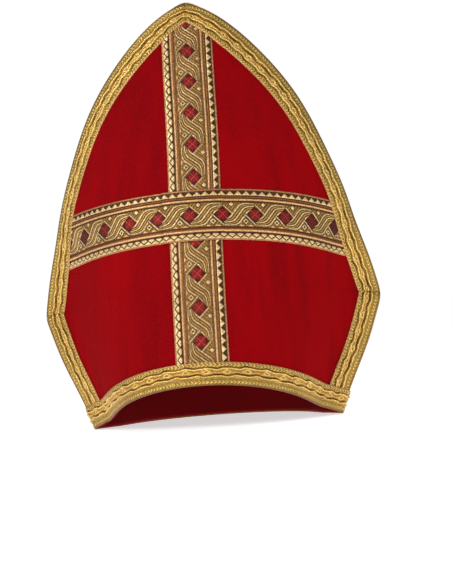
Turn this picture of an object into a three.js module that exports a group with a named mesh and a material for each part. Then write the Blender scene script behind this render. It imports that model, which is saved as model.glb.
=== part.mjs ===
// A bishop's mitre: two stiff pointed shields joined at the sides up to the kinks, a soft cloth crown
// folded down between their points, woven ribbons in a cross on each shield and gold braid round
// every edge. It rests on its back rim, leaning back.
// Millimetres. +Z is up, the front faces -Y, and +X is the viewer's right.
import * as THREE from 'three';
import { mergeVertices } from 'three/addons/utils/BufferGeometryUtils.js';

// Driving dimensions of the shields, in the mitre's upright pose
const baseHalfWidth = 102.5;      // middle to side seam, at the bottom corners
const kinkHalfWidth = 144;        // the same at the kinks, where the seams end
const kinkHeight = 101;
const apexHeight = 349;
const baseDepth = 93;             // side seams to the front's middle, at the rim
const rimRise = 17;               // the rim's middle lies this much higher than its corners
const wall = 3;

// Driving dimensions of the trims and the cloth crown
const clearance = 0.3;            // between pieces that touch
const facetAllowance = 0.12;      // so that the trims' flat facets stay clear of the shield's
const ribbonWidth = 45;
const ribbonThickness = 1.2;
const crossbarHeight = 158;       // of the crossbar's middle line
const crossbarRamp = 4;           // length of its slope up on to the upright ribbon
const edgeBraidWidth = 20;
const rimBraidWidth = 20;
const braidThickness = 2;
const braidWrap = 1.5;            // how far an edge braid reaches round the shield's edge
const hemInset = 1;               // the rim braid reaches this much lower than the shields
const crownThickness = 1.6;
const crownHem = 2;               // the crown's hem lies this much inside the shield's edge
const crownStart = 11;            // the crown's ends lie this much above the kinks

// The middle line of a shield, bottom to top: up as a share of the apex height, and its distance
// from the seams' plane as a share of the base depth.
const MIDDLE_LINE = [
  { up: 0, out: 1 },
  { up: 0.15, out: 1.045 },
  { up: 0.3, out: 1.075 },
  { up: 0.5, out: 1.09 },
  { up: 0.75, out: 1.03 },
  { up: 1, out: 0.88 },
];

// How a level section bends from the middle to the edge, at the rim and at the kinks. It turns back
// by turn degrees over the share round of its half, and is pinched flat again by tuck degrees
// between the shares pinchFrom and pinchTo.
const RIM_SECTION = { turn: 72, tuck: 26, round: 0.82 };
const KINK_SECTION = { turn: 60, tuck: 28, round: 0.85 };
const pinchFrom = 0.7;
const pinchTo = 0.98;
const pinchFade = 0.35;           // share of the height above the kinks where the pinch fades out
const pointFlattening = 1.25;     // radius of bend at the apex, against that at the kinks

// The pointed arch above the kinks: half width = kink half width (1 - t^archPower)^archRoundness
const archPower = 1.36;
const archRoundness = 0.61;
const archCrowding = 1.3;         // rows draw closer towards the apex by this power

// Soft folds of the crown: at across (a share of the kink half width) the cloth sinks or swells by
// depth mm, over spread (a share of the same width).
const CROWN_FOLDS = [
  { across: -0.62, depth: 2.2, spread: 0.11 },
  { across: -0.34, depth: -1.8, spread: 0.1 },
  { across: -0.08, depth: 2.6, spread: 0.09 },
  { across: 0.21, depth: -2, spread: 0.1 },
  { across: 0.5, depth: 2.4, spread: 0.12 },
];
const valleySoftness = 0.07;      // rounding of the crown's valley, as a share of its half

// Mesh fineness. Columns lie at these shares of the way from the middle to the edge, closer where
// the face is pinched hollow.
const COLUMN_SHARES = [0, 0.1, 0.2, 0.3, 0.4, 0.49, 0.57, 0.65, 0.72, 0.78, 0.84, 0.89, 0.93, 0.965, 1];
const sectionSteps = 96;
const seamRows = 6;
const archRows = 18;
const uprightRows = 20;
const ribbonColumns = 4;
const crossbarColumns = 10;         // from its step to each end
const rimRows = 3;
const crownRows = 14;         // from an end to the apex
const crownColumns = 10;

const tiny = 0.01;                // stands in for a length of zero
const rimSlope = rimRise / baseDepth;
const restLean = Math.atan(rimSlope);
const trimLift = wall + clearance + facetAllowance;

const smoothStep = (t) => {
  const c = Math.min(Math.max(t, 0), 1);
  return c * c * (3 - 2 * c);
};
const mix = (a, b, t) => a + (b - a) * t;

// Reads a table of rows at one place, by cubic pieces whose slopes come from the neighbour rows.
function readTable(rows, key, value, at) {
  const last = rows.length - 1;
  const slope = (i) => {
    const a = rows[Math.max(i - 1, 0)];
    const b = rows[Math.min(i + 1, last)];
    return (b[value] - a[value]) / (b[key] - a[key]);
  };
  let i = 0;
  while (i < last - 1 && at > rows[i + 1][key]) i += 1;
  const step = rows[i + 1][key] - rows[i][key];
  const t = (at - rows[i][key]) / step;
  const rise = rows[i + 1][value] - rows[i][value];
  const cubic = slope(i) * step * t * (1 - t) ** 2 - slope(i + 1) * step * t * t * (1 - t);
  return rows[i][value] + rise * t * t * (3 - 2 * t) + cubic;
}

// Middle line and half width of a shield at a height
const middleDepth = (z) => baseDepth * readTable(MIDDLE_LINE, 'up', 'out', z / apexHeight);

function halfWidth(z) {
  if (z <= kinkHeight) return mix(baseHalfWidth, kinkHalfWidth, z / kinkHeight);
  const t = Math.min((z - kinkHeight) / (apexHeight - kinkHeight), 1);
  return kinkHalfWidth * Math.max(1 - t ** archPower, 0) ** archRoundness;
}

// One level section of the shield's inner face, from the middle to the right edge: a unit curve
// drawn by its turning angle, stretched to the half width and to the depth that it must reach.
function levelSection(z) {
  const width = Math.max(halfWidth(z), tiny);
  const depth = middleDepth(z);
  const below = smoothStep(z / kinkHeight);
  const above = Math.max((z - kinkHeight) / (apexHeight - kinkHeight), 0);
  const kinkRadius = kinkHalfWidth ** 2 / (2 * middleDepth(kinkHeight));
  const archReach = width ** 2 / (2 * kinkRadius * mix(1, pointFlattening, above));
  const reach = z <= kinkHeight ? depth : archReach;
  const shape = {
    turn: mix(RIM_SECTION.turn, KINK_SECTION.turn, below),
    tuck: mix(RIM_SECTION.tuck, KINK_SECTION.tuck, below) * (1 - smoothStep(above / pinchFade)),
    round: mix(RIM_SECTION.round, KINK_SECTION.round, below) * Math.max(kinkHalfWidth / width, 1),
  };
  const x = [0];
  const y = [0];
  for (let i = 0; i < sectionSteps; i += 1) {
    const u = (i + 0.5) / sectionSteps;
    const bend = shape.turn * Math.sin((Math.PI / 2) * Math.min(u / shape.round, 1));
    const pinch = shape.tuck * smoothStep((u - pinchFrom) / (pinchTo - pinchFrom));
    const angle = THREE.MathUtils.degToRad(bend - pinch);
    x.push(x[i] + Math.cos(angle));
    y.push(y[i] + Math.sin(angle));
  }
  const stretchX = width / x[sectionSteps];
  const stretchY = reach / y[sectionSteps];
  const section = { z, x: [], y: [], s: [0] };
  for (let i = 0; i <= sectionSteps; i += 1) {
    section.x.push(x[i] * stretchX);
    section.y.push(y[i] * stretchY - depth - clearance / 2);
    if (i > 0) {
      const length = Math.hypot(section.x[i] - section.x[i - 1], section.y[i] - section.y[i - 1]);
      section.s.push(section.s[i - 1] + length);
    }
  }
  return section;
}

// Heights crowd together towards the apex, where the arch turns fastest.
const archHeight = (t) => mix(kinkHeight, apexHeight, 1 - (1 - t) ** archCrowding);

const stackStepsBelow = 16;
const stackStepsAbove = 60;
const stack = [];
for (let i = 0; i < stackStepsBelow; i += 1) stack.push(levelSection((kinkHeight * i) / stackStepsBelow));
for (let i = 0; i <= stackStepsAbove; i += 1) stack.push(levelSection(archHeight(i / stackStepsAbove)));

// Where a height lies among the stacked sections
function stackPlace(z) {
  let low = 0;
  let high = stack.length - 2;
  while (low < high) {
    const middle = Math.ceil((low + high) / 2);
    if (stack[middle].z <= z) low = middle;
    else high = middle - 1;
  }
  return { index: low, share: (z - stack[low].z) / (stack[low + 1].z - stack[low].z) };
}

// Length along a level section from the middle to the edge
function edgeLength(z) {
  const { index, share } = stackPlace(Math.min(z, apexHeight));
  return mix(stack[index].s[sectionSteps], stack[index + 1].s[sectionSteps], share);
}

// A point of one section by the share of its length, from 0 in the middle to 1 at the edge
function sectionPoint(section, share) {
  const total = section.s[sectionSteps];
  const s = share * total;
  let low = 0;
  let high = sectionSteps - 1;
  while (low < high) {
    const middle = Math.ceil((low + high) / 2);
    if (section.s[middle] <= s) low = middle;
    else high = middle - 1;
  }
  const t = total > 0 ? (s - section.s[low]) / (section.s[low + 1] - section.s[low]) : 0;
  return { x: mix(section.x[low], section.x[low + 1], t), y: mix(section.y[low], section.y[low + 1], t) };
}

// A point of the front shield's inner face: s runs along the level section from the middle line,
// positive to the right, and z is its height.
function facePoint(s, z) {
  const { index, share } = stackPlace(z);
  const lengthShare = Math.abs(s) / Math.max(edgeLength(z), tiny);
  const low = sectionPoint(stack[index], lengthShare);
  const high = sectionPoint(stack[index + 1], lengthShare);
  return new THREE.Vector3(Math.sign(s) * mix(low.x, high.x, share), mix(low.y, high.y, share), z);
}

// The face's outward normal, from two short steps along it
const probe = 0.5;
function faceNormal(s, z) {
  const inside = Math.min(z, apexHeight - 3 * probe);
  const reach = Math.max(edgeLength(inside) - probe, probe);
  const held = THREE.MathUtils.clamp(s, -reach, reach);
  const along = facePoint(held + probe, inside).sub(facePoint(held - probe, inside));
  const lowZ = Math.max(inside - probe, 0);
  const up = facePoint(held, inside + probe).sub(facePoint(held, lowZ));
  return along.cross(up).normalize();
}

// A point that lies lift above the front shield's inner face
const lifted = (s, z, lift) => facePoint(s, z).addScaledVector(faceNormal(s, z), lift);

// The rim's plane slopes up from the seams to the middle. This is the height at which a lifted point
// lies the given distance above it, where s follows from the height by sAt.
const heightRounds = 12;
function heightOverRim(sAt, above, lift) {
  let z = above;
  for (let round = 0; round < heightRounds; round += 1) {
    const point = lifted(sAt(z), z, lift);
    z += above + rimSlope * Math.abs(point.y) - point.z;
  }
  return z;
}
const atShare = (share) => (z) => share * edgeLength(z);

// Volume inside a triangle mesh, negative where its faces point inwards
function signedVolume(position, index) {
  const corner = (i) => new THREE.Vector3().fromBufferAttribute(position, index[i]);
  let volume = 0;
  for (let i = 0; i < index.length; i += 3) {
    volume += corner(i).dot(corner(i + 1).cross(corner(i + 2))) / 6;
  }
  return volume;
}

// A closed solid between two skins, each a grid of points [row][column]. With loop, the last row
// joins the first.
function slab(outer, inner, loop = false) {
  const rows = outer.length;
  const columns = outer[0].length;
  const positions = [];
  const triangle = (a, b, c) => {
    for (const p of [a, b, c]) positions.push(p.x, p.y, p.z);
  };
  const quad = (a, b, c, d) => {
    triangle(a, b, c);
    triangle(a, c, d);
  };
  const rowSteps = loop ? rows : rows - 1;
  for (let i = 0; i < rowSteps; i += 1) {
    const k = (i + 1) % rows;
    for (let j = 0; j < columns - 1; j += 1) {
      quad(outer[i][j], outer[i][j + 1], outer[k][j + 1], outer[k][j]);
      quad(inner[i][j], inner[k][j], inner[k][j + 1], inner[i][j + 1]);
    }
    quad(outer[i][0], outer[k][0], inner[k][0], inner[i][0]);
    quad(outer[i][columns - 1], inner[i][columns - 1], inner[k][columns - 1], outer[k][columns - 1]);
  }
  if (!loop) {
    for (let j = 0; j < columns - 1; j += 1) {
      quad(outer[0][j], inner[0][j], inner[0][j + 1], outer[0][j + 1]);
      quad(outer[rows - 1][j], outer[rows - 1][j + 1], inner[rows - 1][j + 1], inner[rows - 1][j]);
    }
  }
  const loose = new THREE.BufferGeometry();
  loose.setAttribute('position', new THREE.Float32BufferAttribute(positions, 3));
  const merged = mergeVertices(loose, 1e-3);
  const index = merged.getIndex().array;
  const kept = [];
  for (let i = 0; i < index.length; i += 3) {
    const [a, b, c] = [index[i], index[i + 1], index[i + 2]];
    if (a !== b && b !== c && a !== c) kept.push(a, b, c);
  }
  if (signedVolume(merged.getAttribute('position'), kept) < 0) kept.reverse();
  merged.setIndex(kept);
  merged.computeVertexNormals();
  return merged;
}

// The same geometry for the back: mirrored through the seams' plane
function mirroredToBack(geometry) {
  const back = geometry.clone();
  const position = back.getAttribute('position');
  for (let i = 0; i < position.count; i += 1) position.setY(i, -position.getY(i));
  const index = Array.from(back.getIndex().array);
  for (let i = 0; i < index.length; i += 3) [index[i], index[i + 1]] = [index[i + 1], index[i]];
  back.setIndex(index);
  back.computeVertexNormals();
  return back;
}

const grid = (rows, columns, make) => rows.map((row) => columns.map((column) => make(row, column)));
const steps = (from, to, count) => Array.from({ length: count + 1 }, (_, i) => mix(from, to, i / count));

const bothSides = (shares) => [...shares.slice(1).reverse().map((share) => -share), ...shares];

// Shield: rows climb from the rim to the apex, columns cross from the left edge to the right.
function shieldGeometry() {
  const rows = [
    ...steps(0, 1, seamRows).map((t) => (rim) => mix(rim, kinkHeight, t)),
    ...steps(0, 1, archRows).slice(1).map((t) => () => archHeight(t)),
  ];
  const skin = (lift) => grid(rows, bothSides(COLUMN_SHARES), (heightFrom, share) => {
    const z = heightFrom(heightOverRim(atShare(share), hemInset, lift));
    return lifted(share * edgeLength(z), z, lift);
  });
  return slab(skin(wall), skin(0));
}

// The right edge as flat points (s, z), up the seam and round the arch, each with the flat point
// one braid width inside it. The first lies on top of the rim braid.
function edgeLine() {
  const startHeight = rimBraidWidth + clearance;
  const line = [
    ...steps(startHeight, kinkHeight, seamRows - 2),
    ...steps(0, 1, archRows).slice(1).map(archHeight),
  ].map((z, i) => ({ edge: new THREE.Vector2(edgeLength(z), z), onSeam: z <= kinkHeight, onRim: i === 0 }));
  const inward = (a, b) => {
    const run = b.clone().sub(a).normalize();
    return new THREE.Vector2(-run.y, run.x);
  };
  const last = line.length - 1;
  line[last].edge.x = 0;
  line.forEach((station, i) => {
    const before = line[Math.max(i - 1, 0)].edge;
    const after = line[Math.min(i + 1, last)].edge;
    const lower = i > 0 ? inward(before, station.edge) : inward(station.edge, after);
    const upper = i < last ? inward(station.edge, after) : lower;
    const bisector = lower.clone().add(upper).normalize();
    station.inner = station.edge.clone().addScaledVector(bisector, edgeBraidWidth / bisector.dot(lower));
  });
  const crossing = line.findIndex((station) => station.inner.x < 0);
  const [a, b] = [line[crossing - 1].inner, line[crossing].inner];
  const point = new THREE.Vector2(0, mix(a.y, b.y, a.x / (a.x - b.x)));
  for (let i = crossing; i <= last; i += 1) line[i].inner = point.clone();
  return line;
}
const EDGE = edgeLine();

// The braid's inner line: its distance from the middle at a height, and its height at a distance
function innerAtHeight(z) {
  const i = EDGE.findIndex((station, k) => k > 0 && station.inner.y >= z);
  const [a, b] = [EDGE[i - 1].inner, EDGE[i].inner];
  return mix(a.x, b.x, (z - a.y) / (b.y - a.y));
}
function innerAtDistance(s) {
  const arch = EDGE.filter((station) => station.edge.y >= kinkHeight);
  const i = arch.findIndex((station, k) => k > 0 && station.inner.x <= Math.abs(s));
  const [a, b] = [arch[i - 1].inner, arch[i].inner];
  return mix(a.y, b.y, (Math.abs(s) - a.x) / (b.x - a.x));
}

// Edge braid: flat on the shield, with a narrow return round its edge. On the seams the return
// stays on its own side of the seams' plane.
function edgeBraidGeometry() {
  const stations = [
    ...EDGE.map((station) => ({ ...station, side: -1 })),
    ...EDGE.slice(0, -1).reverse().map((station) => ({ ...station, side: 1 })),
  ];
  const seamRun = new THREE.Vector2(kinkHalfWidth - baseHalfWidth, kinkHeight).normalize();
  const acrossShares = [1, 0.66, 0.33];
  const rimTop = rimBraidWidth + clearance;
  const place = ({ edge, inner, onSeam, onRim, side }, lift, wrap) => {
    const onFace = acrossShares.map((share) => {
      const flat = edge.clone().lerp(inner, share);
      const s = side * flat.x;
      return lifted(s, onRim ? heightOverRim(() => s, rimTop, lift) : flat.y, lift);
    });
    const base = facePoint(side * edge.x, edge.y);
    const normal = faceNormal(side * edge.x, edge.y);
    const near = edge.clone().lerp(inner, 0.1);
    const inTheSeam = new THREE.Vector3(side * seamRun.y, 0, -seamRun.x);
    const alongTheFace = base.clone().sub(facePoint(side * near.x, near.y)).normalize();
    const outward = onSeam ? inTheSeam : alongTheFace;
    const onReturn = [lift, clearance].map((height) => {
      const point = base.clone().addScaledVector(outward, wrap).addScaledVector(normal, height);
      if (onRim) point.z = rimTop + rimSlope * Math.abs(point.y);
      return point;
    });
    return [...onFace, ...onReturn];
  };
  const skin = (lift, wrap) => stations.map((station) => place(station, lift, wrap));
  const wrapClearance = clearance * 2;
  return slab(skin(trimLift + braidThickness, braidWrap + wrapClearance), skin(trimLift, wrapClearance));
}

// Upright ribbon: from the rim braid up to the edge braid's point
function uprightGeometry() {
  const rows = steps(0, 1, uprightRows);
  const columns = steps(-ribbonWidth / 2, ribbonWidth / 2, ribbonColumns);
  const skin = (lift) => grid(rows, columns, (t, s) => {
    const bottom = heightOverRim(() => s, rimBraidWidth + clearance, lift);
    const top = innerAtDistance(s) - clearance * 2;
    return lifted(s, mix(bottom, top, t), lift);
  });
  return slab(skin(trimLift + ribbonThickness), skin(trimLift));
}

// Crossbar ribbon: from braid to braid, with a step up over the upright ribbon
function crossbarGeometry() {
  const overUpright = ribbonWidth / 2 + clearance * 3;
  const stepEnd = overUpright + crossbarRamp;
  const rightSide = [
    ...steps(0, overUpright, 3).map((s) => () => s),
    ...steps(0, 1, crossbarColumns).map((t) => (end) => mix(stepEnd, end, t)),
  ];
  const columns = steps(-ribbonWidth / 2, ribbonWidth / 2, ribbonColumns);
  const stations = [
    ...rightSide.slice(1).reverse().map((from) => (end) => -from(end)),
    ...rightSide,
  ];
  const step = ribbonThickness + clearance;
  const skin = (lift) => grid(stations, columns, (from, across) => {
    const z = crossbarHeight + across;
    const s = from(innerAtHeight(z) - clearance * 2);
    const raise = Math.abs(s) < overUpright + clearance ? step : 0;
    return lifted(s, z, lift + raise);
  });
  return slab(skin(trimLift), skin(trimLift + ribbonThickness));
}

// Rim braid: one loop, across the front, round the right corner, across the back and round the left
function rimBraidGeometry() {
  const heights = steps(0, rimBraidWidth, rimRows);
  const cornerTurns = [1 / 6, 1 / 3, 1 / 2, 2 / 3, 5 / 6];
  const mirrorY = new THREE.Vector3(1, -1, 1);
  const skin = (lift) => {
    const front = bothSides(COLUMN_SHARES).map((share) => heights.map((height) => {
      const z = heightOverRim(atShare(share), height, lift);
      return lifted(share * edgeLength(z), z, lift);
    }));
    const corner = (side) => cornerTurns.map((turn) => heights.map((height) => {
      const seam = facePoint(side * edgeLength(height), height);
      const first = faceNormal(side * edgeLength(height), height);
      const second = first.clone().multiply(mirrorY);
      const opening = first.angleTo(second);
      const axis = first.clone().cross(second).normalize();
      const direction = first.applyAxisAngle(axis, opening * turn);
      const point = new THREE.Vector3(seam.x, 0, height).addScaledVector(direction, lift);
      point.z = height + rimSlope * Math.abs(point.y);
      return point;
    }));
    const back = front.map((row) => row.map((point) => point.clone().multiply(mirrorY))).reverse();
    return [...front, ...corner(1), ...back, ...corner(-1).reverse()];
  };
  return slab(skin(trimLift), skin(trimLift + braidThickness), true);
}

// Crown: hung from both shields' edges, its valley as deep as the cloth's own length lets it fall.
// That length is the shield's own height above the kinks, so that the mitre folds flat.
function crownGeometry() {
  const startShare = 1 - (1 - crownStart / (apexHeight - kinkHeight)) ** (1 / archCrowding);
  const right = steps(startShare, 1, crownRows).map((t) => {
    const z = archHeight(t);
    const inside = Math.max(edgeLength(z) - crownHem, 0);
    const hem = lifted(inside, z - crownHem, -(clearance + crownThickness));
    const cloth = z - kinkHeight;
    const fall = Math.sqrt(Math.max(cloth ** 2 - hem.y ** 2, 0));
    return { x: hem.x, y: hem.y, top: hem.z, valley: hem.z - fall };
  });
  const apexHem = right[right.length - 1];
  apexHem.x = 0;
  const stations = [
    ...right.slice(0, -1).map((hem) => ({ ...hem, x: -hem.x })),
    ...right.slice().reverse(),
  ];
  const fold = (x) => CROWN_FOLDS.reduce((sum, { across, depth, spread }) => {
    const distance = (x / kinkHalfWidth - across) / spread;
    return sum + depth * Math.exp(-(distance ** 2));
  }, 0);
  const across = steps(-1, 1, crownColumns);
  const rounded = (r) => Math.hypot(r, valleySoftness) - valleySoftness;
  const middle = grid(stations, across, (hem, share) => {
    const r = Math.abs(share);
    const sway = fold(hem.x) * Math.sin(Math.PI * r) ** 2;
    const y = hem.y * r + sway;
    return new THREE.Vector3(hem.x, share < 0 ? y : -y, mix(hem.valley, hem.top, rounded(r) / rounded(1)));
  });
  const skin = (offset) => middle.map((row, i) => row.map((point, j) => {
    const alongRow = row[Math.min(j + 1, row.length - 1)].clone().sub(row[Math.max(j - 1, 0)]);
    const rowAfter = middle[Math.min(i + 1, middle.length - 1)][j];
    const alongColumn = rowAfter.clone().sub(middle[Math.max(i - 1, 0)][j]);
    const normal = alongColumn.cross(alongRow).normalize();
    return point.clone().addScaledVector(normal, offset);
  }));
  return slab(skin(-crownThickness / 2), skin(crownThickness / 2));
}

const velvet = { color: 0x960b14, roughness: 0.85, metalness: 0 };
const crownCloth = { color: 0x8c0a12, roughness: 0.9, metalness: 0 };
const goldBraid = { color: 0xc89b46, roughness: 0.45, metalness: 0.6 };
const wovenRibbon = { color: 0xb49450, roughness: 0.5, metalness: 0.5 };

const mitre = new THREE.Group();
function addPiece(name, geometry, look) {
  const mesh = new THREE.Mesh(geometry, new THREE.MeshStandardMaterial(look));
  mesh.name = name;
  mitre.add(mesh);
}
function addPair(name, geometry, look) {
  addPiece(`front_${name}`, geometry, look);
  addPiece(`back_${name}`, mirroredToBack(geometry), look);
}

addPair('shield', shieldGeometry(), velvet);
addPair('edge_braid', edgeBraidGeometry(), goldBraid);
addPair('upright_ribbon', uprightGeometry(), wovenRibbon);
addPair('crossbar_ribbon', crossbarGeometry(), wovenRibbon);
addPiece('rim_braid', rimBraidGeometry(), goldBraid);
addPiece('crown_gusset', crownGeometry(), crownCloth);

// The mitre leans back until its back rim lies flat on the floor, with its box's middle over the
// origin.
mitre.rotation.x = -restLean;
mitre.updateMatrixWorld(true);
const restBox = new THREE.Box3().setFromObject(mitre, true);
mitre.position.y = -(restBox.min.y + restBox.max.y) / 2;

const model = new THREE.Group();
model.add(mitre);
export default model;
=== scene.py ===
"""A bishop's mitre of red velvet and gold trims, as it rests on its back rim."""
import math

import bpy
import numpy as np
from mathutils import Matrix, Vector


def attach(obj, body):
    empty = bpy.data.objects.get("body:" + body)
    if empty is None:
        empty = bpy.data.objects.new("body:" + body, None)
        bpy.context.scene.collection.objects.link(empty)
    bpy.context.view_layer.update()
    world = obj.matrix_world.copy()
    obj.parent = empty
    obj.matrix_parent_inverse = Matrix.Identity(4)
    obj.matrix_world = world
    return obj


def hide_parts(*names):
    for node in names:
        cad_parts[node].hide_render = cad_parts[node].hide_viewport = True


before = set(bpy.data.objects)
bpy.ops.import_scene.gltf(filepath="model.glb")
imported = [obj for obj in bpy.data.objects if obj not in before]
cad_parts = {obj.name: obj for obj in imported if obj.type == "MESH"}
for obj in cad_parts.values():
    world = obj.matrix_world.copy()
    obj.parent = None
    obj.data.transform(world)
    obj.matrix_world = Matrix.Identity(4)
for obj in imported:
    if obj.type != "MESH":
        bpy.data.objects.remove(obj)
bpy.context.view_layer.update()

# Studio. The mitre is worked in its upright pose, in millimetres, and then leans back by the slope
# of its rim until the rim's back lies on the floor. The camera stands low in front of it.
mm = 0.001
rim_rise, base_depth = 17, 93
rim_slope = rim_rise / base_depth
moved_forward = 26.843            # brings the middle of the resting mitre's box over the origin
rest = Matrix.Translation((0, -moved_forward * mm, 0)) @ Matrix.Rotation(-math.atan(rim_slope), 4, "X")


def dyed(red, green, blue):
    """A colour given as a screen shows it, as the light that a material works with."""
    shown = (red, green, blue)
    return tuple(((v / 255 + 0.055) / 1.055) ** 2.4 if v > 10 else v / 3295 for v in shown) + (1,)


elevation, azimuth, roll = math.radians(-13.6), math.radians(6.6), math.radians(2.97)
aim, camera_distance, film = Vector((0, 0, 180 * mm)), 1.5, 36
picture_height, focal_length, slid_right, slid_up = 584, 1690, 18.5, -73.2    # in pixels
backward = Vector((math.sin(azimuth) * math.cos(elevation), -math.cos(azimuth) * math.cos(elevation),
                   math.sin(elevation)))
level = Vector((math.cos(azimuth), math.sin(azimuth), 0))
upward = backward.cross(level)
side = level * math.cos(roll) - upward * math.sin(roll)
top = level * math.sin(roll) + upward * math.cos(roll)
stand = Matrix.Translation(aim + backward * camera_distance)
bpy.ops.object.camera_add()
camera = bpy.context.object
camera.name = "camera"
camera.matrix_world = rest @ stand @ Matrix((side, top, backward)).transposed().to_4x4()
camera.data.sensor_width = film
camera.data.lens = focal_length / picture_height * film
camera.data.shift_x, camera.data.shift_y = slid_right / picture_height, slid_up / picture_height
camera.data.clip_end = 200
bpy.context.scene.camera = camera
bpy.context.scene.view_settings.view_transform = "Standard"

LIGHTS = {
    "key_light": {"at": (-1.25, -1.65, 1.3), "size": 1.0, "power": 21},
    "fill_light": {"at": (1.6, -1.3, 0.7), "size": 1.4, "power": 4.5},
    "top_light": {"at": (0.3, 0.9, 1.9), "size": 1.2, "power": 9},
}
for name, lamp in LIGHTS.items():
    bpy.ops.object.light_add(type="AREA", location=lamp["at"])
    light = bpy.context.object
    light.name = name
    light.data.shape, light.data.size, light.data.energy = "DISK", lamp["size"], lamp["power"]
    light.rotation_euler = (aim - light.location).to_track_quat("-Z", "Y").to_euler()

world = bpy.data.worlds.new("pale_studio")
bpy.context.scene.world = world
world.use_nodes = True
sky = world.node_tree
seen = sky.nodes.new("ShaderNodeBackground")
seen.inputs["Color"].default_value = (1, 1, 1, 1)
lit = sky.nodes["Background"]
lit.inputs["Color"].default_value = (0.42, 0.42, 0.42, 1)
ray = sky.nodes.new("ShaderNodeLightPath")
choice = sky.nodes.new("ShaderNodeMixShader")
sky.links.new(ray.outputs["Is Camera Ray"], choice.inputs["Fac"])
sky.links.new(lit.outputs[0], choice.inputs[1])
sky.links.new(seen.outputs[0], choice.inputs[2])
sky.links.new(choice.outputs[0], sky.nodes["World Output"].inputs["Surface"])

bpy.ops.mesh.primitive_circle_add(vertices=64, radius=30, fill_type="NGON", location=(0, 0, -0.0002))
floor = bpy.context.object
floor.name = "floor"
paper = bpy.data.materials.new("pale_floor")
paper.use_nodes = True
surface = paper.node_tree.nodes["Principled BSDF"].inputs
surface["Base Color"].default_value = (0.9, 0.9, 0.9, 1)
surface["Roughness"].default_value = 0.9
surface["Emission Color"].default_value = (1, 1, 1, 1)
surface["Emission Strength"].default_value = 0.62
floor.data.materials.append(paper)

# Shields: two stiff panels covered in deep red velvet, joined up their sides to the kinks, and lined
# with plain red cloth. Each is drawn by its level sections, which bow outwards and are pinched flat
# at the seams.
base_half, kink_half, kink_up, apex_up = 102.5, 144, 101, 349
wall, clearance = 3, 0.3
arch_power, arch_roundness = 1.36, 0.64
middle_up = np.array([0, 0.15, 0.3, 0.5, 0.75, 1])            # shares of the apex's height
middle_out = np.array([1, 1.045, 1.075, 1.09, 1.03, 0.88])    # shares of the base's depth
section_steps = 240


def smooth(t):
    t = np.clip(t, 0, 1)
    return t * t * (3 - 2 * t)


def mix(a, b, t):
    return a + (b - a) * t


def middle_depth(z):
    """Distance of the middle line from the seams' plane, by cubic pieces through its table."""
    low, high = np.r_[0, np.arange(5)], np.r_[np.arange(1, 6), 5]
    slope = (middle_out[high] - middle_out[low]) / (middle_up[high] - middle_up[low])
    up = np.asarray(z, float) / apex_up
    i = np.clip(np.searchsorted(middle_up, up, side="right") - 1, 0, 4)
    step = middle_up[i + 1] - middle_up[i]
    t = (up - middle_up[i]) / step
    bow = slope[i] * step * t * (1 - t) ** 2 - slope[i + 1] * step * t * t * (1 - t)
    return base_depth * (mix(middle_out[i], middle_out[i + 1], t * t * (3 - 2 * t)) + bow)


def hump(value, middle, spread):
    """1 at the middle, falling softly to 0 on both sides."""
    return np.exp(-((value - middle) / spread) ** 2)


def half_width(z):
    """Half the shield's width. Sewn and pressed, it is fuller below the kinks and flatter above them."""
    t = np.clip((z - kink_up) / (apex_up - kink_up), 0, 1)
    arch = kink_half * (1 - t ** arch_power) ** arch_roundness
    fuller = 2.9 * hump(z, 66, 32) - 2.3 * hump(z, 160, 26) + 3.5 * hump(z, 268, 42)
    rounding = 0.8 * hump(z, kink_up, 16) - 0.2 * (np.hypot(z - kink_up, 6) - np.abs(z - kink_up))
    width = np.where(z <= kink_up, mix(base_half, kink_half, z / kink_up), arch)
    return np.maximum(width + (fuller + rounding) * smooth((apex_up - z) / 25), 0.01)


def level_sections(z):
    """Level sections of the inner face, from the middle to the right edge, one row for each height."""
    z = z[:, None]
    width, depth = half_width(z), middle_depth(z)
    below = smooth(z / kink_up)
    above = np.maximum((z - kink_up) / (apex_up - kink_up), 0)
    kink_radius = kink_half ** 2 / (2 * middle_depth(kink_up))
    reach = np.where(z <= kink_up, depth, width ** 2 / (2 * kink_radius * mix(1, 1.25, above)))
    turn, tuck = mix(72, 60, below), mix(26, 28, below) * (1 - smooth(above / 0.35))
    rounded = mix(0.82, 0.85, below) * np.maximum(kink_half / width, 1)
    u = (np.arange(section_steps) + 0.5) / section_steps
    bend = turn * np.sin(np.pi / 2 * np.minimum(u / rounded, 1)) - tuck * smooth((u - 0.7) / 0.28)
    start = np.zeros_like(z)
    x = np.hstack([start, np.cumsum(np.cos(np.radians(bend)), 1)])
    y = np.hstack([start, np.cumsum(np.sin(np.radians(bend)), 1)])
    x, y = x * width / x[:, -1:], y * reach / y[:, -1:] - depth - clearance / 2
    s = np.hstack([start, np.cumsum(np.hypot(np.diff(x), np.diff(y)), 1)])
    even = np.linspace(0, 1, section_steps + 1)
    x = np.array([np.interp(even * row[-1], row, values) for row, values in zip(s, x)])
    y = np.array([np.interp(even * row[-1], row, values) for row, values in zip(s, y)])
    return x, y, s[:, -1]


levels = np.r_[np.linspace(0, kink_up, 60)[:-1],
               apex_up - (apex_up - kink_up) * np.linspace(1, 0, 240) ** 1.6]
section_x, section_y, section_length = level_sections(levels)


def edge_length(z):
    """Length along a level section from the middle to the edge."""
    return np.interp(z, levels, section_length)


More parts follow.
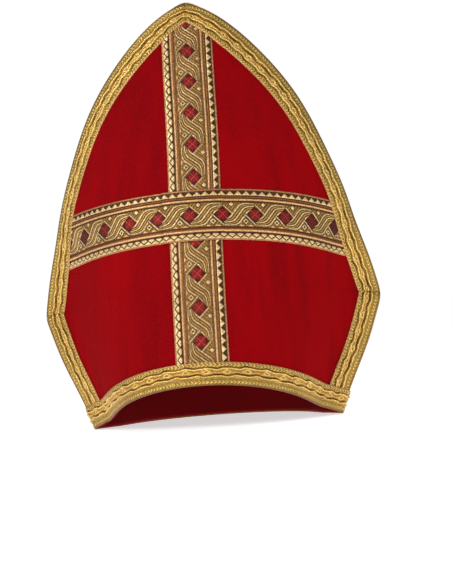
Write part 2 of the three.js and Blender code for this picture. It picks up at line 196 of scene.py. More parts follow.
def face(s, z):
    """Points of the front shield's inner face: s runs along the level section from the middle."""
    s, z = np.broadcast_arrays(np.asarray(s, float), np.asarray(z, float))
    i = np.clip(np.searchsorted(levels, z, side="right") - 1, 0, len(levels) - 2)
    f = (z - levels[i]) / (levels[i + 1] - levels[i])
    share = np.minimum(np.abs(s) / np.maximum(edge_length(z), 0.01), 1) * section_steps
    j = np.minimum(share.astype(int), section_steps - 1)
    g = share - j
    x, y = (mix(mix(t[i, j], t[i, j + 1], g), mix(t[i + 1, j], t[i + 1, j + 1], g), f)
            for t in (section_x, section_y))
    return np.stack([np.sign(s) * x, y, z], -1)


def outward_normal(s, z):
    z = np.minimum(z, apex_up - 2)
    reach = np.maximum(edge_length(z) - 0.7, 0.7)
    s = np.clip(s, -reach, reach)
    low = np.maximum(z - 0.7, 0)
    n = np.cross(face(s + 0.7, z) - face(s - 0.7, z), face(s, z + 0.7) - face(s, low))
    return n / np.linalg.norm(n, axis=-1, keepdims=True)


def lifted(s, z, lift):
    """Points at a distance over the front shield's inner face."""
    return face(s, z) + outward_normal(s, z) * np.asarray(lift, float)[..., None]


def over_rim(s, above, lift):
    """The height at which a lifted point lies a given distance above the rim's slanting plane."""
    z = above + rim_slope * base_depth * np.ones_like(s, dtype=float)
    for _ in range(8):
        point = lifted(s, z, lift)
        z = z + above + rim_slope * np.abs(point[..., 1]) - point[..., 2]
    return z


def deselect_all():
    for thing in bpy.context.selected_objects:
        thing.select_set(False)


def flat_grid(name, along, across):
    """A flat grid with the given numbers of faces, and where each vertex lies on it, from 0 to 1."""
    deselect_all()
    bpy.ops.mesh.primitive_grid_add(x_subdivisions=along, y_subdivisions=across, size=2)
    piece = bpy.context.object
    piece.name = piece.data.name = name
    at = np.zeros(len(piece.data.vertices) * 3)
    piece.data.vertices.foreach_get("co", at)
    at = at.reshape(-1, 3) / 2 + 0.5
    return piece, at[:, 0], at[:, 1]


def shape_piece(piece, points):
    """Puts a piece's vertices at points in millimetres."""
    piece.data.vertices.foreach_set("co", (points * mm).ravel())
    piece.data.update()


def keep_flat_place(piece, along, across):
    """Keeps each vertex's place on the flat band as the UV map, in metres."""
    corner = np.zeros(len(piece.data.loops), int)
    piece.data.loops.foreach_get("vertex_index", corner)
    flat = piece.data.uv_layers.active
    flat.name = "flat"
    flat.uv.foreach_set("vector", (np.stack([along, across], -1)[corner] * mm).ravel())


def close_mesh(piece, distance=0.02):
    """Merges doubles, fills open ends and turns the faces outwards."""
    deselect_all()
    piece.select_set(True)
    bpy.context.view_layer.objects.active = piece
    bpy.ops.object.mode_set(mode="EDIT")
    bpy.ops.mesh.select_all(action="SELECT")
    bpy.ops.mesh.remove_doubles(threshold=distance * mm)
    bpy.ops.mesh.select_all(action="DESELECT")
    bpy.ops.mesh.select_non_manifold(extend=False, use_wire=False, use_multi_face=False, use_verts=False)
    bpy.ops.mesh.fill_holes(sides=0)
    bpy.ops.mesh.select_all(action="SELECT")
    bpy.ops.mesh.normals_make_consistent(inside=False)
    bpy.ops.object.mode_set(mode="OBJECT")
    bpy.ops.object.shade_smooth()


def set_down(front, back_name):
    """Copies a front piece to the back, half a turn round, and leans both back on to the rim."""
    back = front.copy()
    back.data = front.data.copy()
    back.name = back.data.name = back_name
    bpy.context.collection.objects.link(back)
    back.data.transform(rest @ Matrix.Rotation(math.pi, 4, "Z"))
    front.data.transform(rest)
    return back


seam_share, crowding = 0.3, 1.3   # the rows below the kinks, and how the others crowd at the apex
near_rim, over_plane = 15.0, 1    # a height just over the rim, and the shield's foot over its plane


def archway(t):
    """Heights from the kinks, where t is 0, to the apex, where it is 1."""
    return kink_up + (apex_up - kink_up) * (1 - (1 - t) ** crowding)


front_velvet, across, up = flat_grid("front_velvet_shield", 130, 150)
across = across * 2 - 1
rim_s = across * edge_length(np.full_like(across, near_rim))
rim_z = over_rim(rim_s, over_plane, np.full_like(across, wall))
arch_z = archway(np.clip((up - seam_share) / (1 - seam_share), 0, 1))
z = np.where(up < seam_share, mix(rim_z, kink_up, up / seam_share), arch_z)
s = across * edge_length(z)
shape_piece(front_velvet, lifted(s, z, np.full_like(s, wall)))
keep_flat_place(front_velvet, z, s)


def new_material(name):
    """An empty node material and its Principled shader."""
    material = bpy.data.materials.new(name)
    material.use_nodes = True
    return material, material.node_tree, material.node_tree.nodes["Principled BSDF"]


def add_node(tree, kind, inputs=(), **settings):
    """A node with its settings, its inputs set to values or linked from sockets."""
    node = tree.nodes.new(kind)
    for key, value in settings.items():
        setattr(node, key, value)
    for socket, value in dict(inputs).items():
        if isinstance(value, bpy.types.NodeSocket):
            tree.links.new(value, node.inputs[socket])
        else:
            node.inputs[socket].default_value = value
    return node


def blend_colour(tree, share, low, high):
    """A colour between two colours, by a share that changes over the surface."""
    return add_node(tree, "ShaderNodeMix", {0: share, 6: low, 7: high}, data_type="RGBA").outputs[2]


def ramp(tree, value, low, high):
    """0 below low and 1 above high, smoothly between."""
    node = add_node(tree, "ShaderNodeMapRange", {"Value": value, "From Min": low, "From Max": high},
                    interpolation_type="SMOOTHSTEP")
    return node.outputs["Result"]


velvet, tree, shader = new_material("red_velvet")
where = add_node(tree, "ShaderNodeTexCoord").outputs["Object"]
brushed = add_node(tree, "ShaderNodeMapping", {"Vector": where, "Scale": (9, 9, 3)}).outputs[0]
clouds = add_node(tree, "ShaderNodeTexNoise", {"Vector": brushed, "Scale": 1, "Detail": 4,
                                               "Roughness": 0.55})
streaks = add_node(tree, "ShaderNodeMapping", {"Vector": where, "Scale": (75, 75, 8)}).outputs[0]
lines = add_node(tree, "ShaderNodeTexNoise", {"Vector": streaks, "Scale": 1, "Detail": 3})
pile = add_node(tree, "ShaderNodeTexNoise", {"Vector": where, "Scale": 1500, "Detail": 2})
nap = blend_colour(tree, ramp(tree, clouds.outputs[0], 0.3, 0.7), dyed(122, 2, 8), dyed(150, 1, 6))
nap = blend_colour(tree, ramp(tree, lines.outputs[0], 0.35, 0.85), nap, dyed(106, 3, 9))
speckled = blend_colour(tree, ramp(tree, pile.outputs[0], 0.35, 0.75), nap, dyed(154, 6, 13))
tree.links.new(speckled, shader.inputs["Base Color"])
tuft = add_node(tree, "ShaderNodeBump", {"Height": pile.outputs[0], "Strength": 0.35, "Distance": 0.0004})
lean = add_node(tree, "ShaderNodeBump", {"Height": clouds.outputs[0], "Strength": 0.25, "Distance": 0.004,
                                         "Normal": tuft.outputs[0]})
tree.links.new(lean.outputs[0], shader.inputs["Normal"])
shader.inputs["Roughness"].default_value = 0.9
shader.inputs["Specular IOR Level"].default_value = 0.04
shader.inputs["Sheen Weight"].default_value = 0.1
shader.inputs["Sheen Roughness"].default_value = 0.4
shader.inputs["Sheen Tint"].default_value = dyed(214, 12, 20)

lining, tree, shader = new_material("crown_cloth")
where = add_node(tree, "ShaderNodeTexCoord").outputs["Object"]
clouds = add_node(tree, "ShaderNodeTexNoise", {"Vector": where, "Scale": 14, "Detail": 4})
threads = add_node(tree, "ShaderNodeTexNoise", {"Vector": where, "Scale": 1700, "Detail": 1})
cloth = blend_colour(tree, ramp(tree, clouds.outputs[0], 0.3, 0.7), dyed(112, 9, 15), dyed(140, 10, 17))
cloth = blend_colour(tree, ramp(tree, threads.outputs[0], 0.4, 0.7), cloth, dyed(150, 18, 24))
tree.links.new(cloth, shader.inputs["Base Color"])
weave = add_node(tree, "ShaderNodeBump", {"Height": threads.outputs[0], "Strength": 0.3, "Distance": 0.0003})
tree.links.new(weave.outputs[0], shader.inputs["Normal"])
shader.inputs["Roughness"].default_value = 0.8
shader.inputs["Specular IOR Level"].default_value = 0.1
shader.inputs["Sheen Weight"].default_value = 0.08
shader.inputs["Sheen Tint"].default_value = dyed(200, 40, 46)

front_velvet.data.materials.append(velvet)
front_velvet.data.materials.append(lining)
close = front_velvet.modifiers.new("wall", "SOLIDIFY")
close.thickness, close.offset, close.material_offset, close.material_offset_rim = wall * mm, -1, 1, 1
bpy.context.view_layer.objects.active = front_velvet
bpy.ops.object.modifier_apply(modifier="wall")
close_mesh(front_velvet)
back_velvet = set_down(front_velvet, "back_velvet_shield")
for piece, node in ((front_velvet, "front_shield"), (back_velvet, "back_shield")):
    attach(piece, "root")
    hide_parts(node)

# Crown: a soft red cloth hung from the two shields' edges and folded down between the points. From
# each point down to its valley it is as long as the shields are high above the kinks, so that a real
# one can fold flat.
crown_thickness, crown_hem, crown_start, valley_rounding = 1.2, 2, 11, 0.07
CROWN_FOLDS = [(-0.62, 2.2, 0.11), (-0.34, -1.8, 0.1), (-0.08, 2.6, 0.09), (0.21, -2, 0.1),
               (0.5, 2.4, 0.12)]  # each fold's place, depth in mm and spread
crown_cloth, along, over = flat_grid("crown_cloth", 150, 90)
along, over = along * 2 - 1, over * 2 - 1
start_share = 1 - (1 - crown_start / (apex_up - kink_up)) ** (1 / crowding)
z = archway(mix(1, start_share, np.abs(along)))
inside = np.maximum(edge_length(z) - crown_hem, 0)
hem = lifted(inside, z - crown_hem, np.full_like(z, -(clearance + crown_thickness)))
fall = np.sqrt(np.maximum((z - kink_up) ** 2 - hem[:, 1] ** 2, 0))
x = hem[:, 0] * np.sign(along)
x[np.abs(along) < 1e-6] = 0
r = np.abs(over)
sway = sum(depth * hump(x / kink_half, at, spread) for at, depth, spread in CROWN_FOLDS)
y = hem[:, 1] * r + sway * np.sin(np.pi * r) ** 2
whole = math.hypot(1, valley_rounding) - valley_rounding
rounded = (np.hypot(r, valley_rounding) - valley_rounding) / whole
z = mix(hem[:, 2] - fall, hem[:, 2], rounded)
shape_piece(crown_cloth, np.stack([x, np.where(over < 0, y, -y), z], -1))
close = crown_cloth.modifiers.new("cloth", "SOLIDIFY")
close.thickness, close.offset = crown_thickness * mm, 0
bpy.context.view_layer.objects.active = crown_cloth
bpy.ops.object.modifier_apply(modifier="cloth")
close_mesh(crown_cloth)
crown_cloth.data.transform(rest)
crown_cloth.data.materials.append(lining)
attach(crown_cloth, "root")
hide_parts("crown_gusset")


# Woven ribbon: one 45 mm ribbon of gold, cream and copper threads, sewn flat on the velvet, makes the
# upright and the crossbar. Corded strands wind between quartered red lozenges inside two rails, with
# teeth along one edge and beads along the other, drawn once for the relief and the colours.
class Drawn:
    """A number that a material works out at each point. It adds and multiplies as a plain one does."""

    def __init__(self, tree, socket):
        self.tree, self.socket = tree, socket

    def worked(self, operation, *values):
        node = self.tree.nodes.new("ShaderNodeMath")
        node.operation = operation
        for socket, value in zip(node.inputs, values):
            if isinstance(value, Drawn):
                self.tree.links.new(value.socket, socket)
            else:
                socket.default_value = value
        return Drawn(self.tree, node.outputs[0])

    def __add__(self, other):
        return self.worked("ADD", self, other)

    def __sub__(self, other):
        return self.worked("SUBTRACT", self, other)

    def __rsub__(self, other):
        return self.worked("SUBTRACT", other, self)

    def __mul__(self, other):
        return self.worked("MULTIPLY", self, other)

    __radd__, __rmul__ = __add__, __mul__


PLAIN = {"MINIMUM": np.minimum, "MAXIMUM": np.maximum, "ABSOLUTE": np.abs, "SINE": np.sin, "FLOOR": np.floor,
         "SIGN": np.sign}


def work(operation, *values):
    """One step of a pattern, for plain numbers or inside a material."""
    drawn = next((value for value in values if isinstance(value, Drawn)), None)
    return drawn.worked(operation, *values) if drawn else PLAIN[operation](*values)


def size_of(value):
    return work("ABSOLUTE", value)


def under(value, limit, soft=0.25):
    """1 where value lies under limit and 0 over it, over a soft edge in millimetres."""
    return work("MINIMUM", work("MAXIMUM", (limit - value) * (1 / soft) + 0.5, 0.0), 1.0)


def between(value, low, high, soft=0.25):
    return under(value, high, soft) * (1 - under(value, low, soft))


def repeat(value, pitch):
    """Distance from the nearest multiple of pitch, with its sign."""
    return value - work("FLOOR", value * (1 / pitch) + 0.5) * pitch


motif = 27.6                      # from one lozenge to the next
strand_angle = math.radians(53)
GROUND_OLIVE, CORD_GOLD, CORD_SHADE = dyed(124, 90, 34), dyed(196, 152, 76), dyed(80, 46, 12)
DARK_LINE, BRONZE, PINK_GOLD = dyed(86, 46, 12), dyed(160, 96, 42), dyed(255, 208, 152)
CREAM, TOOTH_CREAM, SELVEDGE = dyed(255, 232, 182), dyed(250, 222, 168), dyed(196, 140, 96)
CHECK_RED, CHECK_SHADE, CHECK_LINE = dyed(154, 16, 15), dyed(78, 8, 12), dyed(218, 78, 72)
FADED_GOLD = dyed(166, 122, 70)


def ribbon_pattern(a, c):
    """Layers of the ribbon, each over the last: where it lies, its height in mm, its colour."""
    out = size_of(c)
    tooth = size_of(repeat(a, motif / 4)) * (8 / motif)
    lower = under(c, 0, 0.1)
    layers = [
        (under(out, 30), 0.35, GROUND_OLIVE),
        (between(out, 16.2, 21.6), 0.2, CORD_SHADE),
        ((1 - lower) * between(out, 16.6, 20.6 - tooth * 3.6, 0.4), 0.85, TOOTH_CREAM),
        (lower * between(out, 16.6, 21.3, 0.4), 0.8, TOOTH_CREAM),
        (lower * under(size_of(out - 20.4 + tooth * 2.6), 0.5, 0.4), 0.3, CORD_SHADE),
        (lower * between(out, 15.8, 15.4 + tooth * 2.6, 0.3), 0.2, CORD_SHADE),
        (between(out, 21.2, 23), 0.4, SELVEDGE),
        (between(out, 10.6, 16.5, 0.4), 0.1, DARK_LINE),
        (under(size_of(out - 15.3 + lower * 2.8), 0.5, 0.5), 0.45, BRONZE),
        (under(size_of(out - 12.75 - lower * 1.5), 0.95, 0.6), 0.95, PINK_GOLD),
    ]
    inside = under(out, 10.6)
    hatch = size_of(repeat(a * 0.8 - c * 0.6, 2.3))
    layers.append((inside * under(hatch, 0.5, 0.5) * 0.8, 0.6, CORD_GOLD))
    dx = repeat(a, motif)
    mound = size_of(size_of(dx + 8.4) - 4.0)
    layers.append((inside * lower * between(out, 8.9 + mound * 0.6, 10.6, 0.4), 0.7, PINK_GOLD))
    x = repeat(a - motif / 2, motif)
    p = x * math.cos(strand_angle) + c * math.sin(strand_angle)
    q = x * math.sin(strand_angle) - c * math.cos(strand_angle)
    past = work("MAXIMUM", size_of(p) - 5, 0.0)
    k = q - work("SIGN", p) * past * past * 0.09
    strands = inside * under(size_of(k), 5.4) * under(size_of(p), 15.2)
    layers.append((strands, 0.2, CORD_SHADE))
    layers.append((strands * under(size_of(repeat(k + 2.2, 4.4)), 0.78, 0.4), 0.75, CORD_GOLD))
    layers.append((strands * under(size_of(repeat(k, 4.4)), 0.7, 0.5), 1.0, CREAM))
    m1, m2 = dx + c, dx - c
    around = work("MAXIMUM", size_of(m1), size_of(m2))
    rising = between(0 - m1, 8.5, 9.9, 0.4) * under(size_of(m2), 9.6)
    falling = between(m1, 8.1, 9.3, 0.4) * under(size_of(m2), 7.6)
    layers.append((inside * between(0 - m1, 7.4, 10.6) * under(size_of(m2), 9.6), 0.2, DARK_LINE))
    layers.append((inside * (rising + falling), 0.95, CREAM))
    near = size_of(dx + 8.4) + size_of(c + 6.2)
    layers.append((inside * under(near, 3.4), 0.3, CORD_SHADE))
    layers.append((inside * between(near, 1.2, 2.6), 0.8, CREAM))
    fan = size_of(dx - 7.4) + size_of(c - 8.8)
    layers.append((inside * under(fan, 2.9), 0.3, CORD_SHADE))
    layers.append((inside * under(fan, 2.0), 0.8, CREAM))
    layers.append((under(around, 7.5, 0.4), 0.15, DARK_LINE))
    crossing = work("MINIMUM", size_of(m1), size_of(m2))
    layers.append((under(around, 6.8, 0.4), 0.55, CHECK_RED))
    layers.append((between(around, 5.0, 6.9, 0.6) * (1 - under(crossing, 2.2, 0.8)), 0.3, CHECK_SHADE))
    layers.append((under(around, 6.3) * between(crossing, 0.4, 1.1, 0.3) * 0.8, 0.35, CHECK_SHADE))
    layers.append((under(around, 6.2) * under(crossing, 0.42, 0.3), 0.68, CHECK_LINE))
    return layers


def relief(layers):
    height = 0
    for share, level_of, _ in layers:
        height = mix(height, level_of, share)
    return height


def new_group(name, inputs, outputs):
    """An empty node group with named inputs and outputs, its inner input sockets and its result."""
    group = bpy.data.node_groups.new(name, "ShaderNodeTree")
    for sockets, way in ((inputs, "INPUT"), (outputs, "OUTPUT")):
        for socket, kind in sockets.items():
            group.interface.new_socket(socket, in_out=way, socket_type="NodeSocket" + kind)
    return group, group.nodes.new("NodeGroupInput").outputs, group.nodes.new("NodeGroupOutput")


def pattern_group(name, pattern, fibre):
    """A node group that draws a band's pattern from its place on the flat band."""
    group, given, result = new_group(name, {"Along": "Float", "Across": "Float"},
                                     {"Colour": "Color", "Red": "Float", "Height": "Float"})
    a, c = Drawn(group, given["Along"]), Drawn(group, given["Across"])
    colour, height, red = (0, 0, 0, 1), a * 0, a * 0
    for share, level_of, dye in pattern(a, c):
        colour = blend_colour(group, share.socket, colour, dye)
        height = height + (level_of - height) * share
        red = red + (float(dye in (CHECK_RED, CHECK_SHADE, CHECK_LINE)) - red) * share
    thread = work("SINE", a * (2 * math.pi / fibre)) * work("SINE", c * (2 * math.pi / fibre))
    group.links.new(colour, result.inputs["Colour"])
    group.links.new(red.socket, result.inputs["Red"])
    group.links.new((height + thread * 0.06).socket, result.inputs["Height"])
    return group


def thread_group():
    """The grain and the wear of metal thread, with painted glints, over any colours and relief, as one group
    for every band.
    """
    group, given, result = new_group(
        "metal_thread", {"Colour": "Color", "Dim": "Color", "Bright": "Color", "Roughness": "Float",
                         "Height": "Float"}, {"Colour": "Color", "Roughness": "Float", "Normal": "Vector"})
    where = add_node(group, "ShaderNodeTexCoord").outputs["Object"]
    fine = add_node(group, "ShaderNodeTexNoise", {"Vector": where, "Scale": 900, "Detail": 2}).outputs[0]
    broad = add_node(group, "ShaderNodeTexNoise", {"Vector": where, "Scale": 35, "Detail": 3}).outputs[0]
    # painted glints and dim specks: fine noise scales the colour between Dim and Bright
    shade = blend_colour(group, ramp(group, fine, 0.32, 0.68), given["Dim"], given["Bright"])
    glinting = add_node(group, "ShaderNodeMix", {0: 1.0, 6: given["Colour"], 7: shade}, data_type="RGBA",
                        blend_type="MULTIPLY").outputs[2]
    worn = add_node(group, "ShaderNodeMapRange", {"Value": broad, "From Min": 0.4, "From Max": 0.75,
                                                  "To Min": 0.0, "To Max": 0.22}).outputs[0]
    uneven = add_node(group, "ShaderNodeMapRange", {"Value": fine, "To Min": 0.12,
                                                    "To Max": -0.12}).outputs[0]
    raised = add_node(group, "ShaderNodeBump", {"Height": given["Height"], "Strength": 0.6,
                                                "Distance": 0.001})
    grain = add_node(group, "ShaderNodeBump", {"Height": fine, "Strength": 0.35, "Distance": 0.0005,
                                               "Normal": raised.outputs[0]})
    roughness = Drawn(group, given["Roughness"]) + Drawn(group, uneven)
    group.links.new(blend_colour(group, worn, glinting, CORD_SHADE), result.inputs["Colour"])
    group.links.new(roughness.socket, result.inputs["Roughness"])
    group.links.new(grain.outputs[0], result.inputs["Normal"])
    return group


metal_thread = thread_group()
faded_half = 15.5                 # the ribbon's middle, in mm, where an upright's dyes are faded
# Painted shade darkens the red lozenges from this distance out, towards the crossbar's ends.
painted_shade_at, painted_shade_spread = 0.085, 0.045    # metres from the middle where the lozenges darken


def band_material(name, group, glint, roughness, calm, dim, bright):
    """Metal thread with a drawn pattern: its dyes vary a little, its threads glint unevenly, and painted
    shade darkens its red lozenges far from the middle.
    """
    material, tree, shader = new_material(name)
    flat = add_node(tree, "ShaderNodeUVMap", uv_map="flat").outputs[0]
    parts = add_node(tree, "ShaderNodeSeparateXYZ", {0: flat})
    along, over = Drawn(tree, parts.outputs[0]) * 1000.0, Drawn(tree, parts.outputs[1]) * 1000.0
    drawn = add_node(tree, "ShaderNodeGroup", node_tree=group)
    tree.links.new(along.socket, drawn.inputs["Along"])
    tree.links.new(over.socket, drawn.inputs["Across"])
    where = add_node(tree, "ShaderNodeTexCoord").outputs["Object"]
    sideways = size_of(Drawn(tree, add_node(tree, "ShaderNodeSeparateXYZ", {0: where}).outputs[0]))
    red = Drawn(tree, drawn.outputs["Red"])
    faded = (1 - red) * under(size_of(over), faded_half, 1) * calm
    # painted shade on the red lozenges, growing with the distance from the middle
    painted_shade = red * under(0 - sideways, -painted_shade_at, painted_shade_spread) * 0.9
    quiet = blend_colour(tree, faded.socket, drawn.outputs["Colour"], FADED_GOLD)
    thread = add_node(tree, "ShaderNodeGroup", {
        "Colour": blend_colour(tree, painted_shade.socket, quiet, CHECK_SHADE), "Dim": dim, "Bright": bright,
        "Roughness": roughness, "Height": drawn.outputs["Height"]}, node_tree=metal_thread)
    tree.links.new(thread.outputs["Colour"], shader.inputs["Base Color"])
    tree.links.new(thread.outputs["Roughness"], shader.inputs["Roughness"])
    tree.links.new(thread.outputs["Normal"], shader.inputs["Normal"])
    shader.inputs["Metallic"].default_value = glint
    return material


woven_pattern = pattern_group("woven_ribbon_pattern", ribbon_pattern, 0.9)
upright_metal = band_material("woven_gold_upright", woven_pattern, 0.6, 0.4, 0.36, (0.56, 0.5, 0.42, 1),
                              (1.2, 1.16, 1.08, 1))
crossbar_metal = band_material("woven_gold_crossbar", woven_pattern, 0.6, 0.38, 0.0, (0.58, 0.5, 0.38, 1),
                               (1.08, 1.02, 0.92, 1))
ribbon_width, ribbon_foot, ribbon_top = 45, wall + 0.05, wall + 0.35
drawn_in = 0.95                   # the ribbon's width once sewn, as a share of its flat width


def wrapped_band(name, along_faces, top_faces, under_faces, width, make):
    """A closed band: its columns cross over the top, and fewer of them come back underneath."""
    round_it = top_faces + under_faces + 2
    piece, u, v = flat_grid(name, along_faces, round_it)
    column = np.rint(v * round_it)
    on_top = (column <= top_faces) | (column == round_it)
    under = (round_it - 1 - column) / under_faces
    c = np.where(column == round_it, 0, np.where(on_top, column / top_faces, under)) * width
    points, a, c = make(u, c, on_top)
    shape_piece(piece, points)
    keep_flat_place(piece, a, c)
    close_mesh(piece)
    return piece


# The ribbons end at the edge braid's inner line, so that line is worked out here. The braid lies along
# the shield's edge, is pulled a little wide in places, and its inner corner is drawn up at the apex.
edge_braid_width, rim_braid_width = 20, 18.2
seam_start, corner_rise, corner_reach = 2.6, 4, 26
edge_z = np.r_[np.linspace(seam_start, kink_up, 80)[:-1],
               apex_up - (apex_up - kink_up) * np.linspace(1, 0, 400) ** 1.5]
edge_s = edge_length(edge_z)
edge_s[-1] = 0
run = np.hypot(np.diff(edge_s), np.diff(edge_z))
edge_arc = np.r_[0, np.cumsum(run)]
direction = np.stack([np.diff(edge_s), np.diff(edge_z)], -1) / run[:, None]
lower = np.vstack([direction[:1], direction])
upper = np.vstack([direction, direction[-1:]])
bisector = np.stack([-(lower + upper)[:, 1], (lower + upper)[:, 0]], -1)
bisector /= np.linalg.norm(bisector, axis=1, keepdims=True)
pulled_wide = edge_braid_width + 1.3 * hump(edge_z, 165, 45) + 3.2 * hump(edge_z, 0, 32)
stretch = pulled_wide / np.sum(bisector * np.stack([-lower[:, 1], lower[:, 0]], -1), 1)
inner_s, inner_z = edge_s + bisector[:, 0] * stretch, edge_z + bisector[:, 1] * stretch
cross = np.argmax(inner_s < 0)
inner_tip = np.interp(0, [inner_s[cross], inner_s[cross - 1]], [inner_z[cross], inner_z[cross - 1]])
inner_s[cross:], inner_z[cross:] = 0, inner_tip
inner_z += corner_rise * np.clip(1 - inner_s / corner_reach, 0, 1) * (edge_z > 250)
arch_part = edge_z >= kink_up
gap, crossbar_up = 0.15, 158
lozenge_over, pitch_over = 304.7, 28.4         # on the upright over the crossbar: one's height, and
lozenge_under, pitch_under = 109.4, 27.75      # the distance to the next, and the same under it


def braid_height_at(s):
    """Height of the edge braid's inner line on the arch, at a distance from the middle."""
    return np.interp(-np.abs(s), -inner_s[arch_part], inner_z[arch_part])


def braid_reach_at(z):
    """Distance of the edge braid's inner line from the middle, at a height."""
    return np.interp(z, inner_z, inner_s)


def upright(u, c, on_top):
    """The upright's points. Sewn by hand, it bends up to 2.5 mm to the right over the crossbar."""
    across = c - ribbon_width / 2
    s = across * drawn_in
    height = np.where(on_top, ribbon_top, ribbon_foot)
    low = over_rim(s, rim_braid_width + gap, height)
    for _ in range(3):
        z = mix(low, braid_height_at(s) - gap, u)
        s = across * drawn_in + 1.2 * (1 - smooth((z - 240) / 110)) + 1.3 * hump(z, 208, 60)
    over, below = (lozenge_over - z) * motif / pitch_over, (lozenge_under - z) * motif / pitch_under
    a = np.where(z > crossbar_up, over, below)
    lift = np.where(on_top, ribbon_top + relief(ribbon_pattern(a, across)), ribbon_foot)
    return lifted(s, z, lift), a, across


front_upright = wrapped_band("front_upright_ribbon_weave", 460, 76, 6, ribbon_width, upright)
front_upright.data.materials.append(upright_metal)
back_upright = set_down(front_upright, "back_upright_ribbon_weave")
for piece, node in ((front_upright, "front_upright_ribbon"), (back_upright, "back_upright_ribbon")):
    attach(piece, "root")
    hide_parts(node)

# Crossbar: the same ribbon sewn level across each shield, over the upright. Sewn by hand, it sinks a
# little towards its right end.
step_up, right_sink, right_run = 1.5, 4.5, 133
lozenge_left, bar_pitch = 2.2, 26.45           # one's distance left of the middle, and to the next


def crossbar(u, c, on_top):
    """The crossbar's points, stepped up where it crosses the upright."""
    across = c - ribbon_width / 2
    share = u * 2 - 1
    s = share * braid_reach_at(crossbar_up + across * drawn_in)
    for _ in range(3):
        z = crossbar_up + across * drawn_in - right_sink * (np.maximum(s, 0) / right_run) ** 2
        s = share * (braid_reach_at(z) - gap)
    a = (s + lozenge_left) * motif / bar_pitch
    raised = 1 - smooth((np.abs(s) - ribbon_width / 2 - 0.5) / 4)
    lift = np.where(on_top, ribbon_top + relief(ribbon_pattern(a, across)), ribbon_foot) + raised * step_up
    return lifted(s, z, lift), a, across


front_crossbar = wrapped_band("front_crossbar_ribbon_weave", 440, 76, 6, ribbon_width, crossbar)
front_crossbar.data.materials.append(crossbar_metal)
back_crossbar = set_down(front_crossbar, "back_crossbar_ribbon_weave")
for piece, node in ((front_crossbar, "front_crossbar_ribbon"), (back_crossbar, "back_crossbar_ribbon")):
    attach(piece, "root")
    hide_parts(node)

# Edge braid: a knitted galloon of gold thread, 20 mm wide, with wavy ridges and grooves and a row of
# eyes between knitted edges. Sewn on, it runs up each seam, round the point and down again, and its
# outer edge folds round the shield's.
GOLD_LOOP, GOLD_RIDGE, GOLD_DARK_AND_SHADE = dyed(206, 164, 80), dyed(252, 220, 134), dyed(98, 64, 16)
GOLD_OLIVE_AND_SHADE, GOLD_ORANGE, PINK_EDGE = dyed(150, 122, 54), dyed(190, 134, 54), dyed(214, 162, 112)
braid_repeat = 61.6


def braid_pattern(a, c):
    """Layers of the galloon from its inner edge (c = 0) to its outer edge (c = 20), with painted shade along
    the outer edge and over its fold.
    """
    turns = a * (2 * math.pi / braid_repeat)
    drift = work("SINE", turns + 0.7) * 0.3 + work("SINE", turns * 7) * 0.16 + work("SINE", turns * 11) * 0.1
    eyes = work("SINE", turns * 4) * 0.55
    u = c - 4.8 + eyes + drift
    v = c - 11.5 - eyes + drift
    chain = work("SINE", turns * 21 + size_of(c - 2.4) * 2.4) * 0.5 + 0.5
    outer_chain = work("SINE", turns * 21 + size_of(c - 17.5) * 2.4) * 0.5 + 0.5
    eye = size_of(repeat(a - braid_repeat / 16, braid_repeat / 4)) * 0.5 + size_of(c - 8.6 + drift)
    fade = work("SINE", turns * 3 + 1.0) * 0.2 + 0.8
    inner_loops, outer_loops = between(c, 0.9, 4.0, 0.5), between(c, 16.3, 19.1, 0.5)
    return [
        (under(c, 90), 1.2, GOLD_LOOP),
        (under(c, 1.0, 0.5) * (chain * 0.5 + 0.5), 0.8, PINK_EDGE),
        (inner_loops * (1 - chain) * 0.9, 0.9, GOLD_OLIVE_AND_SHADE),
        (inner_loops * under(1 - chain, 0.22, 0.3) * 0.8, 1.4, GOLD_RIDGE),
        (between(c, 6.8, 11.2, 0.8) * 0.9, 1.0, GOLD_ORANGE),
        (between(c, 6.8, 11.2, 0.8) * outer_chain * 0.5, 1.1, GOLD_LOOP),
        (under(size_of(eye - 1.5), 0.5, 0.5), 1.7, GOLD_RIDGE),
        (between(u, 0.5, 2.3, 0.9), 2.1, GOLD_RIDGE),
        (between(u, -0.5, 0.45, 0.6) * fade, 0.3, GOLD_DARK_AND_SHADE),
        (between(v, -2.3, -1.3, 0.6) * 0.6, 1.6, GOLD_RIDGE),
        (between(v, 0.5, 2.2, 0.9), 2.3, GOLD_RIDGE),
        (between(v, -0.55, 0.45, 0.6) * fade, 0.3, GOLD_DARK_AND_SHADE),
        (between(c, 14.2, 16.4, 0.6) * 0.8, 1.0, GOLD_OLIVE_AND_SHADE),
        (outer_loops * (1 - outer_chain) * 0.8, 0.9, GOLD_OLIVE_AND_SHADE),
        (outer_loops * under(1 - outer_chain, 0.22, 0.3) * 0.8, 1.4, GOLD_RIDGE),
        # Painted shade: a dark band along the outer edge and an olive fold beyond it, where the braid rolls
        # away from the light.
        (between(c, 18.9, 21.2, 1.2) * 0.75, 1.0, GOLD_DARK_AND_SHADE),
        (between(c, 21.4, 24.4, 0.6) * (1 - outer_chain), 0.8, GOLD_OLIVE_AND_SHADE),
    ]


braid_group = pattern_group("gold_braid_pattern", braid_pattern, 1.1)
braid_metal = band_material("knitted_gold_braid", braid_group, 0.65, 0.34, 0.0, (0.66, 0.62, 0.54, 1),
                            (1.22, 1.18, 1.06, 1))
braid_foot, wrap_reach, point_pull, seam_closing = wall + 0.05, 1.8, 2.4, 0.25
flat_share, wrapped_width = 0.8, 5  # the columns on the face, and the width that folds over the edge
seam_run = np.array([kink_half - base_half, kink_up]) / math.hypot(kink_half - base_half, kink_up)
edge_total, kink_arc = edge_arc[-1], np.interp(kink_up, edge_z, edge_arc)


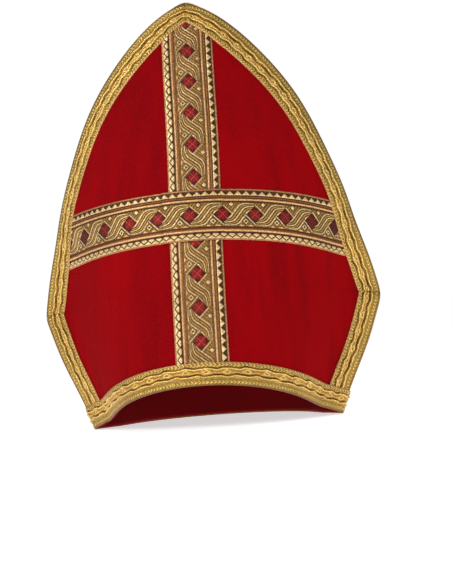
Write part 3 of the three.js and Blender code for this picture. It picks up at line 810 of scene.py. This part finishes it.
def edge_braid(u, share, on_top):
    """The braid's points: flat on the face, then rolled round the shield's edge to its back."""
    a = u * 2 * edge_total
    t = np.minimum(a, 2 * edge_total - a)
    hand = np.where(a <= edge_total, -1.0, 1.0)
    es, ez = np.interp(t, edge_arc, edge_s), np.interp(t, edge_arc, edge_z)
    ns, nz = np.interp(t, edge_arc, inner_s), np.interp(t, edge_arc, inner_z)
    across = np.minimum(share / flat_share, 1)
    s, z = mix(ns, es, across), mix(nz, ez, across)
    width = across * edge_braid_width
    from_kink, from_tip = np.abs(t - kink_arc), edge_total - t
    crease = 0.9 * hump(from_kink, 0, 1.1) + 1.1 * hump(from_tip, 0, 1)
    height = relief(braid_pattern(a, width)) - crease
    lift = np.where(on_top, braid_foot + 0.3 + height, braid_foot)
    points = lifted(hand * s, z, lift)
    base, normal = face(hand * es, ez), outward_normal(hand * es, ez)
    near = face(hand * mix(es, ns, 0.1), mix(ez, nz, 0.1))
    along_face = base - near
    along_face /= np.linalg.norm(along_face, axis=1, keepdims=True)
    in_seam = np.stack([hand * seam_run[1], 0 * hand, np.full_like(hand, -seam_run[0])], -1)
    on_arch = smooth((t - kink_arc + 3) / 6)[:, None]
    outward = mix(in_seam, along_face, on_arch)
    turn = np.clip((share - flat_share) / (1 - flat_share), 0, 1)
    angle = turn * mix(np.pi / 2, np.pi * 0.93, on_arch[:, 0])
    front_lift = np.where(on_top, braid_foot + 1.5, braid_foot)
    back_lift = np.where(on_top, 1.0, 0.2)
    edge_lift = np.where(angle < np.pi / 2, front_lift, back_lift)
    out = np.where(on_top, wrap_reach + point_pull * hump(from_tip, 0, 9), 0.3)
    rolled = base + normal * (edge_lift * np.cos(angle))[:, None] + outward * (out * np.sin(angle))[:, None]
    rolled[:, 1] += seam_closing * turn * (1 - on_arch[:, 0])
    points = np.where((share > flat_share)[:, None], rolled, points)
    return points, a, np.where(share > flat_share, edge_braid_width + turn * wrapped_width, width)


front_edge = wrapped_band("front_edge_braid_knit", 1150, 42, 8, 1.0, edge_braid)
front_edge.data.materials.append(braid_metal)
back_edge = set_down(front_edge, "back_edge_braid_knit")
for piece, node in ((front_edge, "front_edge_braid"), (back_edge, "back_edge_braid")):
    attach(piece, "root")
    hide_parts(node)

# Rim braid: the same galloon in one loop round the opening, sewn over the lower ends of the edge
# braids and round both corners.
corner_share, over_ends = 0.014, 1.5


def rim_braid(u, c, on_top):
    """The loop's points: the front half, then the same turned to the back, joined by round corners."""
    a = u * braid_repeat * round(4 * edge_length(10.0) / braid_repeat)
    turn = (u * 2) % 1
    back = (u * 2).astype(int) % 2 == 1
    share = np.clip((turn - corner_share) / (1 - 2 * corner_share), 0, 1) * 2 - 1
    above = rim_braid_width * (1 - c / edge_braid_width)
    lift = np.where(on_top, braid_foot + 0.3 + relief(braid_pattern(a, c)), braid_foot)
    lift = lift + over_ends * (1 - smooth(((1 - np.abs(share)) * edge_length(10.0) - 20) / 8))
    s = share * edge_length(above)
    for _ in range(3):
        z = over_rim(s, above, lift)
        s = share * edge_length(z)
    points = lifted(s, z, lift)
    bend = np.maximum(np.maximum(corner_share - turn, turn - 1 + corner_share), 0) / corner_share
    hand = np.where(turn < 0.5, -1.0, 1.0)
    seam = face(hand * edge_length(above), above)
    seam[:, 1] = 0
    normal = outward_normal(hand * edge_length(above), above)
    opening = np.arctan2(-normal[:, 1], hand * normal[:, 0])
    flat_part = np.hypot(normal[:, 0], normal[:, 1])
    turned = opening * (1 - bend)
    direction = np.stack([hand * flat_part * np.cos(turned), -flat_part * np.sin(turned), normal[:, 2]], -1)
    corner = seam + direction * lift[:, None]
    corner[:, 2] = above + rim_slope * np.abs(corner[:, 1])
    points = np.where((bend > 0)[:, None], corner, points)
    points[back] *= (-1, -1, 1)
    return points, a, c


rim_knit = wrapped_band("rim_braid_knit", 940, 36, 6, edge_braid_width, rim_braid)
rim_knit.data.materials.append(braid_metal)
rim_knit.data.transform(rest)
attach(rim_knit, "root")
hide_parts("rim_braid")
